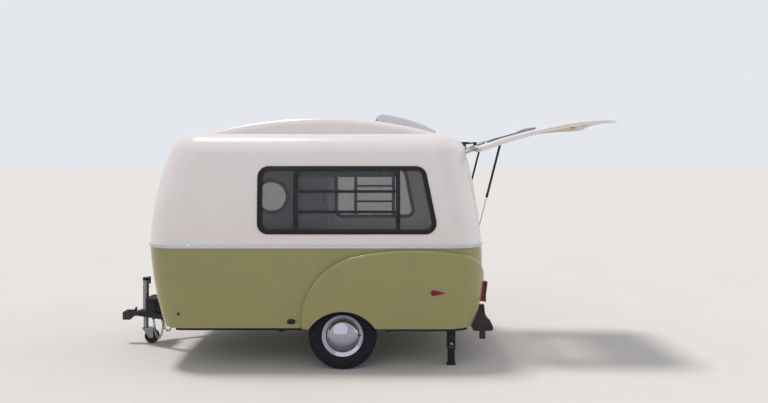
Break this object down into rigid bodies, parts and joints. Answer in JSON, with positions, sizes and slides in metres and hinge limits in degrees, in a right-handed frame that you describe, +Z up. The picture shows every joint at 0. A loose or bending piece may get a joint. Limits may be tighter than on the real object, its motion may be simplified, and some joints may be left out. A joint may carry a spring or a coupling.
{
  "type": "moulded camper trailer",
  "caption": "Small two-tone moulded camper trailer with rounded body, raised roof, side windows, lift-up rear hatch, entry door, flared wheel covers and a nose jack.",
  "frame": {"origin": "on the ground, under the middle of the trailer's box from coupler nose to hatch edge", "axes": "+X rearwards from the coupler to the open hatch, +Y to the door side, +Z up"},
  "size_m": [5.004, 2.1772, 2.4007],
  "materials": {
    "frame_black": "semi-gloss black paint",
    "coupler_zinc": "black painted pressing",
    "shell_green": "olive green gel coat, gloss",
    "shell_white": "white gel coat, gloss",
    "shell_inner": "off-white gel coat, satin",
    "seam_trim": "bright trim",
    "floor_vinyl": "wood-look flooring, satin",
    "window_rubber": "satin black seal and frame",
    "glass": "tinted clear",
    "hinge_black": "satin black",
    "jack_zinc": "zinc plated",
    "box_black": "matte black",
    "bumper_black": "textured black paint",
    "lamp_red": "clear red lens",
    "port_black": "matte black",
    "vent_gasket": "matte dark grey",
    "vent_white": "white, satin",
    "furniture": "light laminate",
    "cushion_fabric": "blue-grey woven cloth",
    "chain_zinc": "zinc plated",
    "hatch_tan": "tan gel coat, satin",
    "strut_black": "satin black",
    "strut_rod_steel": "polished steel",
    "tyre": "black rubber",
    "rim_silver": "silver paint",
    "hubcap_chrome": "mirror chrome",
    "jockey_tyre": "black rubber on grey hub"
  },
  "bodies": {
    "root": {"chassis_frame": "frame_black", "a_frame": "frame_black", "coupler": "coupler_zinc", "axle_beam": "frame_black", "swing_arms": "frame_black", "lower_shell": "shell_green", "upper_shell": "shell_white", "seam_strip": "seam_trim", "cabin_floor": "floor_vinyl", "side_window_frames": "window_rubber", "front_window_frame": "window_rubber", "window_glass": "glass", "door_hinges": "hinge_black", "hinge_brackets": "hinge_black", "hatch_jamb": "shell_inner", "jack_tube": "jack_zinc", "jack_crank": "hinge_black", "battery_box": "box_black", "stabiliser_legs": "frame_black", "step_bumper": "bumper_black", "tail_lights": "lamp_red", "side_markers": "lamp_red", "cable_port": "port_black", "vent_base": "vent_gasket", "bench_units": "furniture", "cushions": "cushion_fabric", "counter": "furniture", "wardrobe": "furniture", "safety_chains": "chain_zinc"},
    "entry_door_body": {"entry_door": "shell_white", "door_latch": "hinge_black", "porthole_frame": "window_rubber", "porthole_glass": "glass"},
    "hatch": {"hatch_skin": "shell_white", "hatch_lining": "hatch_tan", "hatch_window_frame": "window_rubber", "hatch_window_glass": "glass", "hatch_hinges": "hinge_black"},
    "strut_left": {"strut_tube_left": "strut_black"},
    "strut_right": {"strut_tube_right": "strut_black"},
    "strut_left_rod": {"strut_rod_left": "strut_rod_steel"},
    "strut_right_rod": {"strut_rod_right": "strut_rod_steel"},
    "vent_lid_body": {"vent_lid": "vent_white"},
    "wheel_left": {"tyre_left": "tyre", "rim_left": "rim_silver", "hubcap_left": "hubcap_chrome"},
    "wheel_right": {"tyre_right": "tyre", "rim_right": "rim_silver", "hubcap_right": "hubcap_chrome"},
    "jack_leg_body": {"jack_leg": "jack_zinc"},
    "jack_fork_body": {"jack_fork": "jack_zinc"},
    "jockey_wheel_body": {"jockey_wheel": "jockey_tyre"}
  },
  "joints": [
    {"name": "wheel_left_spin", "type": "hinge", "parent": "root", "child": "wheel_left", "pos_m": [-0.12897, -0.892, 0.313], "axis": [0, 1, 0], "continuous": true},
    {"name": "wheel_right_spin", "type": "hinge", "parent": "root", "child": "wheel_right", "pos_m": [-0.12897, 0.892, 0.313], "axis": [0, 1, 0], "continuous": true},
    {"name": "hatch_hinge", "type": "hinge", "parent": "root", "child": "hatch", "pos_m": [1.07703, 0, 2.086], "axis": [0, 1, 0], "range_deg": [0, 95]},
    {"name": "strut_left_pivot", "type": "hinge", "parent": "hatch", "child": "strut_left", "pos_m": [1.35318, -0.688, 2.06198], "axis": [0, 1, 0], "range_deg": [-115, 0]},
    {"name": "strut_left_slide", "type": "slide", "parent": "strut_left", "child": "strut_left_rod", "axis": [0.2477, 0, 0.9688], "range_m": [0, 0.2791]},
    {"name": "strut_right_pivot", "type": "hinge", "parent": "hatch", "child": "strut_right", "pos_m": [1.35318, 0.688, 2.06198], "axis": [0, 1, 0], "range_deg": [-115, 0]},
    {"name": "strut_right_slide", "type": "slide", "parent": "strut_right", "child": "strut_right_rod", "axis": [0.2477, 0, 0.9688], "range_m": [0, 0.2791]},
    {"name": "entry_door_hinge", "type": "hinge", "parent": "root", "child": "entry_door_body", "pos_m": [-1.39597, 1.058, 1.23], "axis": [0, 0, 1], "range_deg": [0, 110]},
    {"name": "vent_lid_hinge", "type": "hinge", "parent": "root", "child": "vent_lid_body", "pos_m": [0.15603, 0, 2.32428], "axis": [0, -1, 0], "range_deg": [0, 35]},
    {"name": "jack_slide", "type": "slide", "parent": "root", "child": "jack_leg_body", "axis": [0, 0, 1], "range_m": [-0.1, 0.11]},
    {"name": "jack_swivel", "type": "hinge", "parent": "jack_leg_body", "child": "jack_fork_body", "pos_m": [-2.25897, 0, 0.172], "axis": [0, 0, 1], "continuous": true},
    {"name": "jockey_wheel_spin", "type": "hinge", "parent": "jack_fork_body", "child": "jockey_wheel_body", "pos_m": [-2.19397, 0, 0.075], "axis": [0, 1, 0], "continuous": true}
  ],
  "couplings": [
    {"joint": "strut_left_pivot", "follows": "hatch_hinge", "ratio": -1.2053},
    {"joint": "strut_left_slide", "follows": "hatch_hinge", "m_per_rad": 0.16775},
    {"joint": "strut_right_pivot", "follows": "hatch_hinge", "ratio": -1.2053},
    {"joint": "strut_right_slide", "follows": "hatch_hinge", "m_per_rad": 0.16775}
  ]
}
